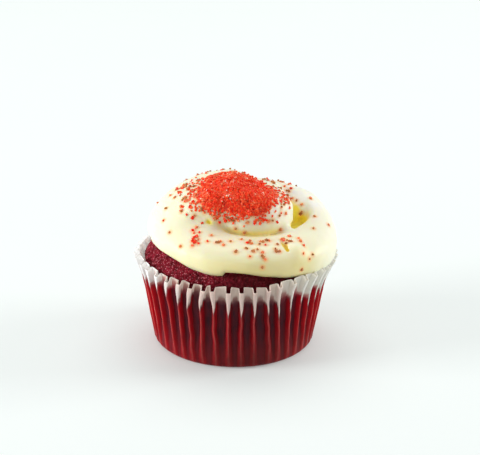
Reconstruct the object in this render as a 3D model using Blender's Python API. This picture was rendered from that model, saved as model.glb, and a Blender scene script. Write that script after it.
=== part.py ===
"""Red velvet cupcake: fluted sponge in a pleated paper case, with a thick
swirl of frosting on top.  Metres, +Z up, resting on z = 0, front towards -Y."""
import bpy
import bmesh
import numpy as np
from math import cos, exp, pi, radians, sin, sqrt

MM = 0.001

# ---- driving dimensions (mm) ------------------------------------------------
RIM_R = 35.0            # outer radius of the case over the pleat ridges, at the rim
CASE_H = 31.7           # height of the case at the pleat ridges
TOOTH_LIFT = 1.1        # how much higher the inward flats end than the ridges
BASE_R = 25.8           # radius where the flat base starts to turn up
CORNER_Z = 2.6          # height where the rounded base corner ends
CORNER_R = 28.6         # outer radius there
MID_Z = 20.0            # height of the end of the straight part of the wall
MID_R = 31.8            # outer radius there
PAPER_T = 0.40          # wall of the case
PLEATS = 44             # pleats round the case
FRONT_PLEATS = 16       # of these, the ones across the front
FRONT_PITCH = 8.4       # degrees from one front ridge to the next
RIM_DEPTH = 1.8         # pleat depth at the rim
DEPTH_Z = 11.0          # height by which most of that depth is reached
RIDGE_DUTY_RIM = 0.34   # share of the pitch taken by the outward ridge at the rim
RIDGE_DUTY_LOW = 0.52   # and low on the wall
GAP = 0.30              # air left between neighbouring solids
CAKE_TOP = 41.5         # height of the top of the dome of the sponge
CAKE_EDGE_Z = 30.6      # height of the widest part of the sponge
CAKE_EDGE_R = 31.2      # radius of the sponge there
FROST_X, FROST_Y = 2.6, 0.5   # centre of the frosting, off the axis of the case
FROST_CELL = 1.25       # facet size of the frosting before it is thinned
FROST_KEEP = 0.165      # share of its facets kept
SEED = 11


def clear_scene():
    for ob in list(bpy.data.objects):
        bpy.data.objects.remove(ob, do_unlink=True)
    for me in list(bpy.data.meshes):
        bpy.data.meshes.remove(me)


def material(name, colour, rough):
    mat = bpy.data.materials.new(name)
    mat.use_nodes = True
    bsdf = mat.node_tree.nodes["Principled BSDF"]
    bsdf.inputs["Base Color"].default_value = (*colour, 1.0)
    bsdf.inputs["Roughness"].default_value = rough
    mat.diffuse_color = (*colour, 1.0)
    return mat


def make_object(name, verts, faces, mat, smooth=True):
    me = bpy.data.meshes.new(name)
    me.from_pydata([tuple(float(c) * MM for c in v) for v in verts], [],
                   [tuple(int(i) for i in f) for f in faces])
    me.update()
    me.polygons.foreach_set("use_smooth", [smooth] * len(me.polygons))
    ob = bpy.data.objects.new(name, me)
    bpy.context.scene.collection.objects.link(ob)
    if mat:
        me.materials.append(mat)
    return ob


# ---- pleated wall -----------------------------------------------------------
def wall_radius(z):
    """Outer radius over the ridges: rounded corner, straight wall, flared rim."""
    if z <= CORNER_Z:
        t = z / CORNER_Z
        return BASE_R + (CORNER_R - BASE_R) * sqrt(max(0.0, 1.0 - (1.0 - t) ** 2))
    if z <= MID_Z:
        t = (z - CORNER_Z) / (MID_Z - CORNER_Z)
        return CORNER_R + (MID_R - CORNER_R) * t
    t = (z - MID_Z) / (CASE_H - MID_Z)
    straight = MID_R + (MID_R - CORNER_R) / (MID_Z - CORNER_Z) * (z - MID_Z)
    return straight + (RIM_R - straight) * t ** 1.6 if z < CASE_H else RIM_R


def pleat_depth(z):
    """Radial depth of the pleats: nothing at the base, soon deep above it."""
    return RIM_DEPTH * (1.0 - exp(-(max(z, 0.0) / DEPTH_Z) ** 1.5))


def ridge_duty(z):
    t = min(1.0, max(0.0, (z - 12.0) / (CASE_H - 12.0)))
    return RIDGE_DUTY_LOW + (RIDGE_DUTY_RIM - RIDGE_DUTY_LOW) * t


def pleat_table():
    """Centre angle and width of every ridge, a little uneven round the back."""
    rng = np.random.default_rng(SEED)
    front = radians(FRONT_PITCH)
    rest = PLEATS - FRONT_PLEATS
    back = (2 * pi - front * (FRONT_PLEATS - 1)) / (rest + 1)
    steps = np.full(PLEATS, front)
    steps[FRONT_PLEATS:] = back
    steps[0] = back
    first = -0.5 * pi - 0.5 * front * (FRONT_PLEATS - 1)
    centre = first + np.cumsum(steps) - steps[0]
    centre[FRONT_PLEATS:] += 0.10 * back * rng.standard_normal(rest).clip(-1.6, 1.6)
    lift = 0.20 * rng.standard_normal(PLEATS).clip(-1.5, 1.5)
    return centre, steps, lift


def section(z, centre, steps):
    """One closed ring of the pleated outline, four points to a pleat."""
    ro = wall_radius(z)
    ri = ro - pleat_depth(z)
    duty = ridge_duty(z)
    slope = 0.06
    pts = []
    n = len(centre)
    for k in range(n):
        half = 0.5 * duty * 0.5 * (steps[k] + steps[(k + 1) % n])
        c = centre[k]
        for ang, r in ((c - half * (1 + slope), ri), (c - half * (1 - slope), ro),
                       (c + half * (1 - slope), ro), (c + half * (1 + slope), ri)):
            pts.append((r * cos(ang), r * sin(ang)))
    return np.array(pts)


def inset(pts, dist):
    """Parallel offset of a closed counter-clockwise outline towards its inside."""
    prev = np.roll(pts, 1, axis=0)
    nxt = np.roll(pts, -1, axis=0)
    e0 = pts - prev
    e1 = nxt - pts
    e0 /= np.linalg.norm(e0, axis=1)[:, None]
    e1 /= np.linalg.norm(e1, axis=1)[:, None]
    n0 = np.stack([-e0[:, 1], e0[:, 0]], 1)
    n1 = np.stack([-e1[:, 1], e1[:, 0]], 1)
    bis = n0 + n1
    scale = 2.0 * dist / np.maximum((bis ** 2).sum(1), 0.5)
    return pts + bis * scale[:, None]


def bridge(faces, a, b, n):
    """Band of quads between two rings of n points; ring b lies above ring a."""
    for i in range(n):
        j = (i + 1) % n
        faces.append((a + i, a + j, b + j, b + i))


def rim_lift(lift, i):
    """Height of rim point i above the ridges: the inward flats stand higher."""
    return lift[i // 4] + (TOOTH_LIFT if i % 4 in (0, 3) else 0.0)


CASE_Z = (0.0, 1.0, CORNER_Z, 9.5, 18.0, CASE_H)


def build_case(mat):
    centre, steps, lift = pleat_table()
    verts, faces = [], []
    n = 4 * PLEATS
    # outer skin
    rings_o = []
    for z in CASE_Z:
        rings_o.append(len(verts))
        rim = z == CASE_H
        for i, (x, y) in enumerate(section(z, centre, steps)):
            verts.append((x, y, z + (rim_lift(lift, i) if rim else 0.0)))
    for a, b in zip(rings_o, rings_o[1:]):
        bridge(faces, a, b, n)
    # inner skin
    rings_i = []
    for z in CASE_Z:
        rings_i.append(len(verts))
        rim = z == CASE_H
        zz = PAPER_T + z * (CASE_H - PAPER_T) / CASE_H
        for i, (x, y) in enumerate(inset(section(z, centre, steps), PAPER_T)):
            verts.append((x, y, zz + (rim_lift(lift, i) if rim else 0.0)))
    for a, b in zip(rings_i, rings_i[1:]):
        bridge(faces, b, a, n)
    # rim
    for i in range(n):
        j = (i + 1) % n
        faces.append((rings_o[-1] + i, rings_o[-1] + j, rings_i[-1] + j, rings_i[-1] + i))
    # flat base, inside and outside
    lo = len(verts)
    verts.append((0.0, 0.0, 0.0))
    hi = len(verts)
    verts.append((0.0, 0.0, PAPER_T))
    for i in range(n):
        j = (i + 1) % n
        faces.append((lo, rings_o[0] + j, rings_o[0] + i))
        faces.append((hi, rings_i[0] + i, rings_i[0] + j))
    return make_object("paper_case", verts, faces, mat, smooth=False)


# ---- sponge -----------------------------------------------------------------
def cake_section(z, centre, steps):
    """Outline of the sponge at height z: fluted where the case presses it."""
    pts = inset(section(z, centre, steps), PAPER_T + GAP)
    rad = np.hypot(pts[:, 0], pts[:, 1])
    t = max(0.0, (z - 18.0) / (CAKE_EDGE_Z - 18.0))
    full = wall_radius(CAKE_EDGE_Z) - CAKE_EDGE_R
    limit = wall_radius(z) - (PAPER_T + GAP) - (full - PAPER_T - GAP) * t ** 1.4
    new = np.minimum(rad, limit)
    return pts * (new / rad)[:, None]


def build_cake(mat):
    centre, steps, _ = pleat_table()
    n = 4 * PLEATS
    verts, faces = [], []
    base = PAPER_T + GAP
    levels = (base, base + 0.9, CORNER_Z + 0.6, 9.5, 18.0, CAKE_EDGE_Z - 2.2)
    rings = []
    for z in levels:
        rings.append(len(verts))
        zz = z
        src = max(0.0, z - base)
        for x, y in cake_section(src if z <= base + 0.91 else z, centre, steps):
            verts.append((x, y, zz))
    for a, b in zip(rings, rings[1:]):
        bridge(faces, a, b, n)
    bottom = len(verts)
    verts.append((0.0, 0.0, base))
    for i in range(n):
        faces.append((bottom, rings[0] + (i + 1) % n, rings[0] + i))
    # dome: one point to a pleat
    dome = []
    steps_t = (0.0, 0.22, 0.40, 0.58, 0.76, 0.90)
    for t in steps_t:
        a = t * pi / 2
        r = CAKE_EDGE_R * cos(a) ** 0.62
        z = CAKE_EDGE_Z + (CAKE_TOP - CAKE_EDGE_Z) * sin(a)
        dome.append(len(verts))
        for k in range(PLEATS):
            verts.append((r * cos(centre[k]), r * sin(centre[k]), z))
    last = rings[-1]
    for k in range(PLEATS):
        m = (k + 1) % PLEATS
        q = last + 4 * k
        nxt = last + 4 * m
        apex, apex2 = dome[0] + k, dome[0] + m
        faces.append((q, q + 1, apex))
        faces.append((q + 1, q + 2, apex))
        faces.append((q + 2, q + 3, apex))
        faces.append((q + 3, nxt, apex2, apex))
    for a, b in zip(dome, dome[1:]):
        bridge(faces, a, b, PLEATS)
    top = len(verts)
    verts.append((0.0, 0.0, CAKE_TOP))
    for k in range(PLEATS):
        faces.append((dome[-1] + k, dome[-1] + (k + 1) % PLEATS, top))
    return make_object("cake", verts, faces, mat)


# ---- frosting ---------------------------------------------------------------
def smooth_min(a, b, k):
    h = np.clip(0.5 + 0.5 * (b - a) / k, 0.0, 1.0)
    return b * (1 - h) + a * h - k * h * (1 - h)


def smoothstep(a, b, x):
    t = np.clip((x - a) / (b - a), 0.0, 1.0)
    return t * t * (3 - 2 * t)


def wave(phi, values):
    """Periodic interpolation round the cup of values given at equal angles."""
    values = np.asarray(values, float)
    n = len(values)
    t = (phi / (2 * pi) % 1.0) * n
    i = np.floor(t).astype(int) % n
    f = t - np.floor(t)
    p0, p1, p2, p3 = values[(i - 1) % n], values[i], values[(i + 1) % n], values[(i + 2) % n]
    return p1 + 0.5 * f * (p2 - p0 + f * (2 * p0 - 5 * p1 + 4 * p2 - p3
                                         + f * (3 * (p1 - p2) + p3 - p0)))


def frosting_field(X, Y, Z):
    """Negative inside the frosting: a low outer roll, and the swirl above it."""
    dx, dy = X - FROST_X, Y - FROST_Y
    r = np.hypot(dx, dy)
    phi = np.arctan2(dy, dx)
    # the roll, values every 30 degrees from the right, anticlockwise seen from above
    #                 0    30    60    90    120   150   180   210   240   270   300   330
    out = wave(phi, (33.3, 33.0, 32.6, 32.0, 31.6, 31.6, 32.2, 33.0, 33.4, 33.0, 33.2, 33.4))
    crest = wave(phi, (25.0, 24.0, 20.0, 19.0, 19.0, 19.0, 20.0, 20.0, 20.5, 20.6, 21.0, 21.8))
    mid = wave(phi, (37.0, 38.5, 40.0, 41.0, 42.0, 42.0, 41.2, 41.4, 40.4, 40.2, 39.4, 37.6))
    top = wave(phi, (47.2, 50.4, 52.0, 52.2, 53.2, 52.3, 50.5, 49.0, 47.4, 45.7, 45.3, 45.4))
    low = wave(phi, (30.0, 30.5, 32.5, 34.5, 36.0, 36.5, 36.6, 37.4, 36.2, 36.0, 33.4, 30.0))
    inner = wave(phi, (3.2, 5.0, 9.0, 12.0, 14.0, 14.0, 15.0, 12.0, 6.0, 5.5, 5.0, 4.5))
    outer = out - crest
    up = (Z - mid) / (top - mid)
    across = np.where(r > crest, (r - crest) / outer, (crest - r) / inner)
    upper = ((across ** 2.1 + np.abs(up) ** 2.1) ** (1 / 2.1) - 1.0) * outer
    lower = ((np.maximum(r - (out - 6.0), 0) / 6.0) ** 2.6
             + (np.abs(mid - Z) / (mid - low)) ** 2.6) ** (1 / 2.6)
    roll = np.where(Z > mid, upper, (lower - 1.0) * 6.0)
    core = ((r / 27.0) ** 3 + (np.abs(Z - 33.0) / 10.2) ** 3) ** (1 / 3)
    roll = smooth_min(roll, (core - 1.0) * 9.0, 3.0)
    # a shoulder at the right, behind the end of the swirl
    shoulder = (np.sqrt(((X - 22.5) / 9.0) ** 2 + ((Y - 11.5) / 9.5) ** 2 + ((Z - 41.5) / 9.0) ** 2) - 1.0) * 9.0
    roll = smooth_min(roll, shoulder, 3.0)
    # the swirl winding inward from the left, its reach given every 15 degrees
    tx, ty = X - 4.6, Y + 0.4
    tr = np.hypot(tx, ty)
    reach = wave(np.arctan2(ty, tx), (16.2, 15.6, 15.4, 16.5, 19.0, 22.0, 24.6, 26.4,
                                      27.7, 28.8, 29.9, 30.8, 31.0, 30.0, 27.5, 21.6,
                                      17.6, 16.6, 16.3, 16.3, 16.4, 16.6, 16.9, 16.9))
    wide = smoothstep(17.0, 32.0, reach)
    lid = 59.8 - 5.6 * smoothstep(-4.0, 14.0, X) * smoothstep(-16.0, -1.0, Y)
    zc = 50.0 - 7.6 * wide
    zb = 39.0 - 1.0 * wide
    q = 2.8 - 0.55 * wide
    swirl = np.where(Z > zc, ((tr / reach) ** q + (np.abs(Z - zc) / (lid - zc)) ** q) ** (1 / q),
                     ((tr / reach) ** q + (np.abs(Z - zc) / (zc - zb)) ** q) ** (1 / q))
    swirl = (swirl - 1.0) * (9.0 + 12.0 * wide)
    # cut off upright at its end
    end = 0.97 * (X - 19.6) + 0.26 * (Y + 3.5)
    swirl = -smooth_min(-swirl, -end, 1.8)
    blend = 3.2 + 3.5 * smoothstep(0.20, 0.56, -np.cos(phi) + 0.3 * np.maximum(np.sin(phi), 0))
    blend = blend + 5.0 * np.exp(-((X - 15.0) ** 2 + (Y - 10.5) ** 2 + (Z - 50.5) ** 2) / 25.0)
    blend = blend + 3.8 * np.exp(-((X - 17.4) ** 2 + (Y + 9.8) ** 2 + (Z - 45.4) ** 2) / 10.0)
    # flat underneath, where the sponge takes it away
    return np.maximum(smooth_min(roll, swirl, blend), 28.6 - Z)


def surface_from_field(field, lo, hi, cell):
    """Closed quad surface where the field is zero, one point to a crossed cell."""
    ax = [np.arange(lo[i], hi[i] + cell, cell) for i in range(3)]
    X, Y, Z = np.meshgrid(*ax, indexing="ij")
    F = field(X, Y, Z)
    S = F < 0
    nx, ny, nz = F.shape
    acc = np.zeros((nx - 1, ny - 1, nz - 1, 3))
    cnt = np.zeros((nx - 1, ny - 1, nz - 1))
    corners = [(a, b, c) for a in (0, 1) for b in (0, 1) for c in (0, 1)]

    def cut(c):
        return tuple(slice(c[i], F.shape[i] - 1 + c[i]) for i in range(3))

    for p in corners:
        for axis in range(3):
            if p[axis]:
                continue
            q = tuple(p[i] + (1 if i == axis else 0) for i in range(3))
            f0, f1 = F[cut(p)], F[cut(q)]
            crossed = (f0 < 0) != (f1 < 0)
            t = np.where(crossed, f0 / np.where(crossed, f0 - f1, 1.0), 0.0)
            for i in range(3):
                add = p[i] + (t if i == axis else 0.0)
                acc[..., i] += np.where(crossed, add, 0.0)
            cnt += crossed
    used = cnt > 0
    index = -np.ones(used.shape, int)
    index[used] = np.arange(used.sum())
    cellpos = np.stack(np.nonzero(used), 1)
    verts = (cellpos + acc[used] / cnt[used][:, None]) * cell + np.array(lo)
    faces = []
    for axis in range(3):
        u, v = (axis + 1) % 3, (axis + 2) % 3
        s0 = [slice(None)] * 3
        s1 = [slice(None)] * 3
        s0[axis] = slice(0, -1)
        s1[axis] = slice(1, None)
        a, b = S[tuple(s0)], S[tuple(s1)]
        for flip, mask in ((False, a & ~b), (True, ~a & b)):
            pos = np.stack(np.nonzero(mask), 1)
            quad = []
            for du, dv in ((-1, -1), (0, -1), (0, 0), (-1, 0)):
                c = pos.copy()
                c[:, u] += du
                c[:, v] += dv
                quad.append(index[c[:, 0], c[:, 1], c[:, 2]])
            quad = np.stack(quad, 1)
            faces.append(quad[:, ::-1] if flip else quad)
    return verts, np.concatenate(faces)


def build_frosting(mat, cutters):
    verts, faces = surface_from_field(
        frosting_field, (-36.0, -38.0, 27.0), (42.0, 38.0, 66.0), FROST_CELL)
    ob = make_object("frosting", verts, faces, mat)
    thin = ob.modifiers.new("thin", "DECIMATE")
    thin.ratio = FROST_KEEP
    for cutter in cutters:
        mod = ob.modifiers.new("clear_" + cutter.name, "BOOLEAN")
        mod.operation = "DIFFERENCE"
        mod.solver = "EXACT"
        mod.object = cutter
    return ob


def dome_profile(grow):
    """Sponge dome grown outwards, with a plain skirt below it."""
    out = [(CAKE_EDGE_R + grow, CAKE_EDGE_Z - 6.0)]
    for t in (0.0, 0.14, 0.28, 0.42, 0.56, 0.70, 0.84):
        a = t * pi / 2
        out.append((CAKE_EDGE_R * cos(a) ** 0.62 + grow * cos(a * 0.5),
                    CAKE_EDGE_Z + (CAKE_TOP - CAKE_EDGE_Z) * sin(a) + grow * (0.2 + sin(a))))
    return out


def build_cutter(name, profile, top, sides):
    verts, faces = [], []
    rings = []
    for r, z in profile:
        rings.append(len(verts))
        for k in range(sides):
            a = 2 * pi * (k + 0.5) / sides
            verts.append((r * cos(a), r * sin(a), z))
    for a, b in zip(rings, rings[1:]):
        bridge(faces, a, b, sides)
    lo = len(verts)
    verts.append((0.0, 0.0, profile[0][1]))
    hi = len(verts)
    verts.append((0.0, 0.0, top))
    for k in range(sides):
        m = (k + 1) % sides
        faces.append((lo, rings[0] + m, rings[0] + k))
        faces.append((rings[-1] + k, rings[-1] + m, hi))
    ob = make_object(name, verts, faces, None)
    ob.hide_render = True
    ob.display_type = "WIRE"
    return ob


clear_scene()
paper = material("paper_case", (0.62, 0.10, 0.10), 0.62)
sponge = material("cake", (0.22, 0.02, 0.04), 0.85)
cream = material("frosting", (0.93, 0.89, 0.72), 0.45)
build_case(paper)
build_cake(sponge)
dome_cut = build_cutter("cut_dome", dome_profile(0.45), CAKE_TOP + 0.6, 64)
RIM_TOP = CASE_H + TOOTH_LIFT + 0.30 + GAP
rim_cut = build_cutter("cut_rim", [(RIM_R + 6.0, 20.0), (RIM_R + 6.0, RIM_TOP)], RIM_TOP, 48)
build_frosting(cream, (dome_cut, rim_cut))
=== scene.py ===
"""Looks for the red velvet cupcake: paper case, sponge, frosting and coloured sugar."""

from math import atan2, cos, degrees, hypot, pi, radians, sin, sqrt

import bpy
import numpy as np
from mathutils import Matrix, Vector
from mathutils.bvhtree import BVHTree


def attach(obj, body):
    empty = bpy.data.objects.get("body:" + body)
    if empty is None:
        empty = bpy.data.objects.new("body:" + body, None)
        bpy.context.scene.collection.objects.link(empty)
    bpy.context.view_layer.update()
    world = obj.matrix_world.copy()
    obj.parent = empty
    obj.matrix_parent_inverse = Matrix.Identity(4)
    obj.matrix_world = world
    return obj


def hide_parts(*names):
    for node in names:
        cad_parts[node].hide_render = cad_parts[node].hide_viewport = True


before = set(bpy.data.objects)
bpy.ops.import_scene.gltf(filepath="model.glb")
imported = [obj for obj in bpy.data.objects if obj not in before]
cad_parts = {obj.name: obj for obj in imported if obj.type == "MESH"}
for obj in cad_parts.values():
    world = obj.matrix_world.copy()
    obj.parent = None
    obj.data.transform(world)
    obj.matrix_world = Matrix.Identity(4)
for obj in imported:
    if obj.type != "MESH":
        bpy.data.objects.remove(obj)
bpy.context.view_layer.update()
MM = 0.001

scene = bpy.context.scene
scene.view_settings.view_transform = "Standard"
scene.view_settings.look = "None"
scene.view_settings.exposure = 0.0
scene.view_settings.gamma = 1.0

# ---- camera, in millimetres until it is made --------------------------------
ELEV = radians(22.3)
DIST = 600.0
AIM = (0.0, 0.0, 32.0)
AIM_PX = (234.7, 252.5)
PX_PER_MM = 2.833
ROLL = radians(0.8)
WIDE, HIGH = 480.0, 455.0


def camera_frame():
    back = np.array([0.0, -cos(ELEV), sin(ELEV)])
    right = np.array([1.0, 0.0, 0.0])
    up = np.cross(back, right)
    c, s = cos(ROLL), sin(ROLL)
    return c * right + s * up, -s * right + c * up, back


def make_camera():
    right, up, back = camera_frame()
    cam = bpy.data.cameras.new("camera")
    cam.sensor_fit = "HORIZONTAL"
    cam.sensor_width = 36.0
    cam.lens = 36.0 * DIST * PX_PER_MM / WIDE
    cam.shift_x = (WIDE / 2 - AIM_PX[0]) / WIDE
    cam.shift_y = (AIM_PX[1] - HIGH / 2) / WIDE
    cam.clip_start = 0.01
    cam.clip_end = 50.0
    ob = bpy.data.objects.new("camera", cam)
    scene.collection.objects.link(ob)
    place = (np.array(AIM) + back * DIST) * MM
    ob.matrix_world = Matrix(((right[0], up[0], back[0], place[0]),
                              (right[1], up[1], back[1], place[1]),
                              (right[2], up[2], back[2], place[2]),
                              (0, 0, 0, 1)))
    scene.camera = ob


def pixel_ray(px, py):
    """Ray (mm) through a point of the photograph's frame."""
    right, up, back = camera_frame()
    f = DIST * PX_PER_MM
    d = right * (px - AIM_PX[0]) / f - up * (py - AIM_PX[1]) / f - back
    return np.array(AIM) + back * DIST, d / np.linalg.norm(d)


make_camera()


# ---- small helpers ----------------------------------------------------------
def smoothstep(a, b, x):
    t = np.clip((x - a) / (b - a), 0.0, 1.0)
    return t * t * (3 - 2 * t)


def smooth_min(a, b, k):
    h = np.clip(0.5 + 0.5 * (b - a) / k, 0.0, 1.0)
    return b * (1 - h) + a * h - k * h * (1 - h)


def wave(phi, values):
    """Periodic interpolation round the cup of values given at equal angles."""
    values = np.asarray(values, float)
    t = (phi / (2 * pi) % 1.0) * len(values)
    i = np.floor(t).astype(int) % len(values)
    f = t - np.floor(t)
    n = len(values)
    p0, p1, p2, p3 = values[(i - 1) % n], values[i], values[(i + 1) % n], values[(i + 2) % n]
    return p1 + 0.5 * f * (p2 - p0 + f * (2 * p0 - 5 * p1 + 4 * p2 - p3
                                         + f * (3 * (p1 - p2) + p3 - p0)))


class Noise:
    """Seeded value noise on a lattice, smooth and repeatable."""

    def __init__(self, seed):
        rng = np.random.default_rng(seed)
        self.table = rng.random((64, 64, 64)) * 2 - 1

    def __call__(self, x, y, z):
        x, y, z = np.broadcast_arrays(x, y, z)
        xi, yi, zi = np.floor(x).astype(int), np.floor(y).astype(int), np.floor(z).astype(int)
        fx, fy, fz = x - xi, y - yi, z - zi
        fx, fy, fz = (f * f * f * (f * (f * 6 - 15) + 10) for f in (fx, fy, fz))
        t = self.table
        out = 0.0
        for a in (0, 1):
            wx = fx if a else 1 - fx
            for b in (0, 1):
                wy = fy if b else 1 - fy
                for c in (0, 1):
                    wz = fz if c else 1 - fz
                    out = out + wx * wy * wz * t[(xi + a) % 64, (yi + b) % 64, (zi + c) % 64]
        return out


NOISE = Noise(5)


def mesh_object(name, verts, faces, mat, smooth=True, attrs=None):
    """verts in mm; faces an (n, 3) or (n, 4) array, or a list of such arrays."""
    verts = np.asarray(verts, float) * MM
    groups = faces if isinstance(faces, list) else [faces]
    loops = np.concatenate([np.asarray(g).reshape(-1) for g in groups])
    sizes = np.concatenate([np.full(len(g), g.shape[1]) for g in groups])
    starts = np.concatenate([[0], np.cumsum(sizes)[:-1]])
    me = bpy.data.meshes.new(name)
    me.vertices.add(len(verts))
    me.vertices.foreach_set("co", verts.astype(np.float32).ravel())
    me.loops.add(len(loops))
    me.loops.foreach_set("vertex_index", loops.astype(np.int32))
    me.polygons.add(len(sizes))
    me.polygons.foreach_set("loop_start", starts.astype(np.int32))
    me.update(calc_edges=True)
    me.validate()
    me.polygons.foreach_set("use_smooth", [smooth] * len(me.polygons))
    for key, values in (attrs or {}).items():
        layer = me.attributes.new(key, "FLOAT", "POINT")
        layer.data.foreach_set("value", np.asarray(values, np.float32).ravel())
    me.materials.append(mat)
    me.update()
    ob = bpy.data.objects.new(name, me)
    scene.collection.objects.link(ob)
    return ob


def grid_faces(rows, cols, start=0, flip=False, closed=True):
    """Quads of a grid of rows x cols points, wrapped along the columns."""
    i = np.arange(rows - 1)[:, None]
    j = np.arange(cols if closed else cols - 1)[None, :]
    k = (j + 1) % cols
    a, b = i * cols + j, i * cols + k
    c, d = (i + 1) * cols + k, (i + 1) * cols + j
    q = np.stack([a, b, c, d], -1).reshape(-1, 4) + start
    return q[:, ::-1] if flip else q


# ---- node helpers -----------------------------------------------------------
class Nodes:
    def __init__(self, name):
        self.mat = bpy.data.materials.new(name)
        self.mat.use_nodes = True
        self.tree = self.mat.node_tree
        self.bsdf = self.tree.nodes["Principled BSDF"]
        self.out = self.tree.nodes["Material Output"]

    def new(self, kind, **values):
        node = self.tree.nodes.new(kind)
        for key, value in values.items():
            setattr(node, key, value)
        return node

    def link(self, a, b):
        self.tree.links.new(a, b)

    def put(self, socket, value):
        if hasattr(value, "is_linked"):
            self.link(value, socket)
        else:
            socket.default_value = value

    def coords(self):
        return self.new("ShaderNodeTexCoord").outputs["Object"]

    def attribute(self, name):
        return self.new("ShaderNodeAttribute", attribute_name=name).outputs["Fac"]

    def noise(self, scale, detail=3.0, rough=0.5, vector=None, distortion=0.0):
        node = self.new("ShaderNodeTexNoise")
        node.inputs["Scale"].default_value = scale
        node.inputs["Detail"].default_value = detail
        node.inputs["Roughness"].default_value = rough
        node.inputs["Distortion"].default_value = distortion
        self.link(vector or self.coords(), node.inputs["Vector"])
        return node.outputs["Fac"]

    def voronoi(self, scale, output="Distance", feature="F1", vector=None, random=1.0):
        node = self.new("ShaderNodeTexVoronoi", feature=feature)
        node.inputs["Scale"].default_value = scale
        node.inputs["Randomness"].default_value = random
        self.link(vector or self.coords(), node.inputs["Vector"])
        return node.outputs[output]

    def math(self, op, a, b=0.0, c=0.0, clamp=False):
        node = self.new("ShaderNodeMath", operation=op, use_clamp=clamp)
        for socket, value in zip(node.inputs, (a, b, c)):
            self.put(socket, value)
        return node.outputs[0]

    def ramp(self, fac, stops, interpolation="LINEAR"):
        node = self.new("ShaderNodeValToRGB")
        ramp = node.color_ramp
        ramp.interpolation = interpolation
        while len(ramp.elements) < len(stops):
            ramp.elements.new(0.5)
        for element, (pos, colour) in zip(ramp.elements, stops):
            element.position = pos
            element.color = (*colour, 1.0)
        self.put(node.inputs["Fac"], fac)
        return node.outputs["Color"]

    def span(self, value, lo, hi, to_lo=0.0, to_hi=1.0, smooth=False):
        node = self.new("ShaderNodeMapRange", clamp=True)
        node.interpolation_type = "SMOOTHSTEP" if smooth else "LINEAR"
        self.put(node.inputs["Value"], value)
        for name, number in (("From Min", lo), ("From Max", hi), ("To Min", to_lo), ("To Max", to_hi)):
            node.inputs[name].default_value = number
        return node.outputs["Result"]

    def mix(self, fac, a, b, mode="MIX"):
        node = self.new("ShaderNodeMix", data_type="RGBA", blend_type=mode)
        self.put(node.inputs[0], fac)
        for socket, value in ((node.inputs[6], a), (node.inputs[7], b)):
            if isinstance(value, tuple):
                socket.default_value = (*value, 1.0)
            else:
                self.put(socket, value)
        return node.outputs[2]

    def bump(self, height, distance, strength=1.0, normal=None):
        node = self.new("ShaderNodeBump")
        node.inputs["Strength"].default_value = strength
        node.inputs["Distance"].default_value = distance
        self.put(node.inputs["Height"], height)
        if normal is not None:
            self.link(normal, node.inputs["Normal"])
        return node.outputs["Normal"]


# ---- paper case -------------------------------------------------------------
RIM_R = 35.0
RIDGE_H = 31.7
TOOTH_LIFT = 1.1
BASE_R = 25.8
CORNER_Z, CORNER_R = 2.6, 28.6
MID_Z, MID_R = 20.0, 31.8
RIM_DEPTH = 1.8
PLEATS = 44
SHEET = 0.11            # thickness of the paper


def wall_radius(z):
    z = np.asarray(z, float)
    t = np.clip(z / CORNER_Z, 0, 1)
    corner = BASE_R + (CORNER_R - BASE_R) * np.sqrt(np.maximum(0, 1 - (1 - t) ** 2))
    slope = (MID_R - CORNER_R) / (MID_Z - CORNER_Z)
    straight = CORNER_R + slope * (z - CORNER_Z)
    t = np.clip((z - MID_Z) / (RIDGE_H - MID_Z), 0, 1.1)
    flare = (RIM_R - (CORNER_R + slope * (RIDGE_H - CORNER_Z))) * t ** 1.6
    return np.where(z < CORNER_Z, corner, straight + flare)


def pleat_depth(z):
    return RIM_DEPTH * (1.0 - np.exp(-(np.maximum(z, 0.0) / 11.0) ** 1.5))


# Ridges seen at the front, in degrees from the middle, at 29, 15 and 6 mm above
# the base: they lean outwards a little on their way down.
LEVELS = (6.0, 15.0, 29.0)
SEEN = ((-64.0, -63.2, -62.5), (-54.8, -53.8, -53.3), (-45.2, -44.8, -44.6), (-37.0, -36.5, -36.0),
        (-29.6, -29.3, -28.4), (-21.6, -21.3, -20.5), (-12.1, -12.2, -12.4), (-3.2, -3.5, -3.2),
        (5.2, 4.9, 4.2), (14.1, 13.1, 11.9), (24.8, 22.9, 19.8), (32.2, 30.2, 26.8),
        (40.4, 38.6, 35.8), (48.6, 46.8, 44.2), (56.6, 54.6, 51.8), (64.3, 62.8, 60.0))
# how far the rim stands above its even height and how far it is pushed outwards,
# every 15 degrees anticlockwise from the right
RIM_LIFT = (1.2, 1.0, 0.8, 0.5, 0.3, 0.2, 0.2, 0.2, 0.2, 0.2, 0.2, 0.3,
            0.6, 0.9, 0.8, 0.2, 0.2, 0.0, 0.0, -0.35, 0.95, 1.15, 1.2, 1.2)
RIM_PUSH = (1.3, 1.2, 0.9, 0.6, 0.3, 0.1, 0.0, 0.0, 0.0, 0.0, 0.1, 0.2,
            0.4, 0.4, 0.2, 0.0, 0.0, 0.0, 0.0, 0.0, 0.3, 0.8, 1.2, 1.3)


# how high the stain reaches on the crests of the ridges, by angle from the front
TIP_AT = (-180.0, -75.0, -62.0, -53.0, -45.0, -37.0, -29.0, -20.0, -12.0, -3.0, 4.5, 13.0, 30.0,
          38.0, 46.0, 54.0, 62.0, 75.0, 180.0)
TIP_Z = (23.0, 23.4, 24.0, 25.2, 24.4, 23.4, 22.5, 22.6, 22.4, 22.2, 21.7, 21.0, 20.7,
         21.2, 22.0, 21.0, 20.8, 22.0, 23.0)


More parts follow.
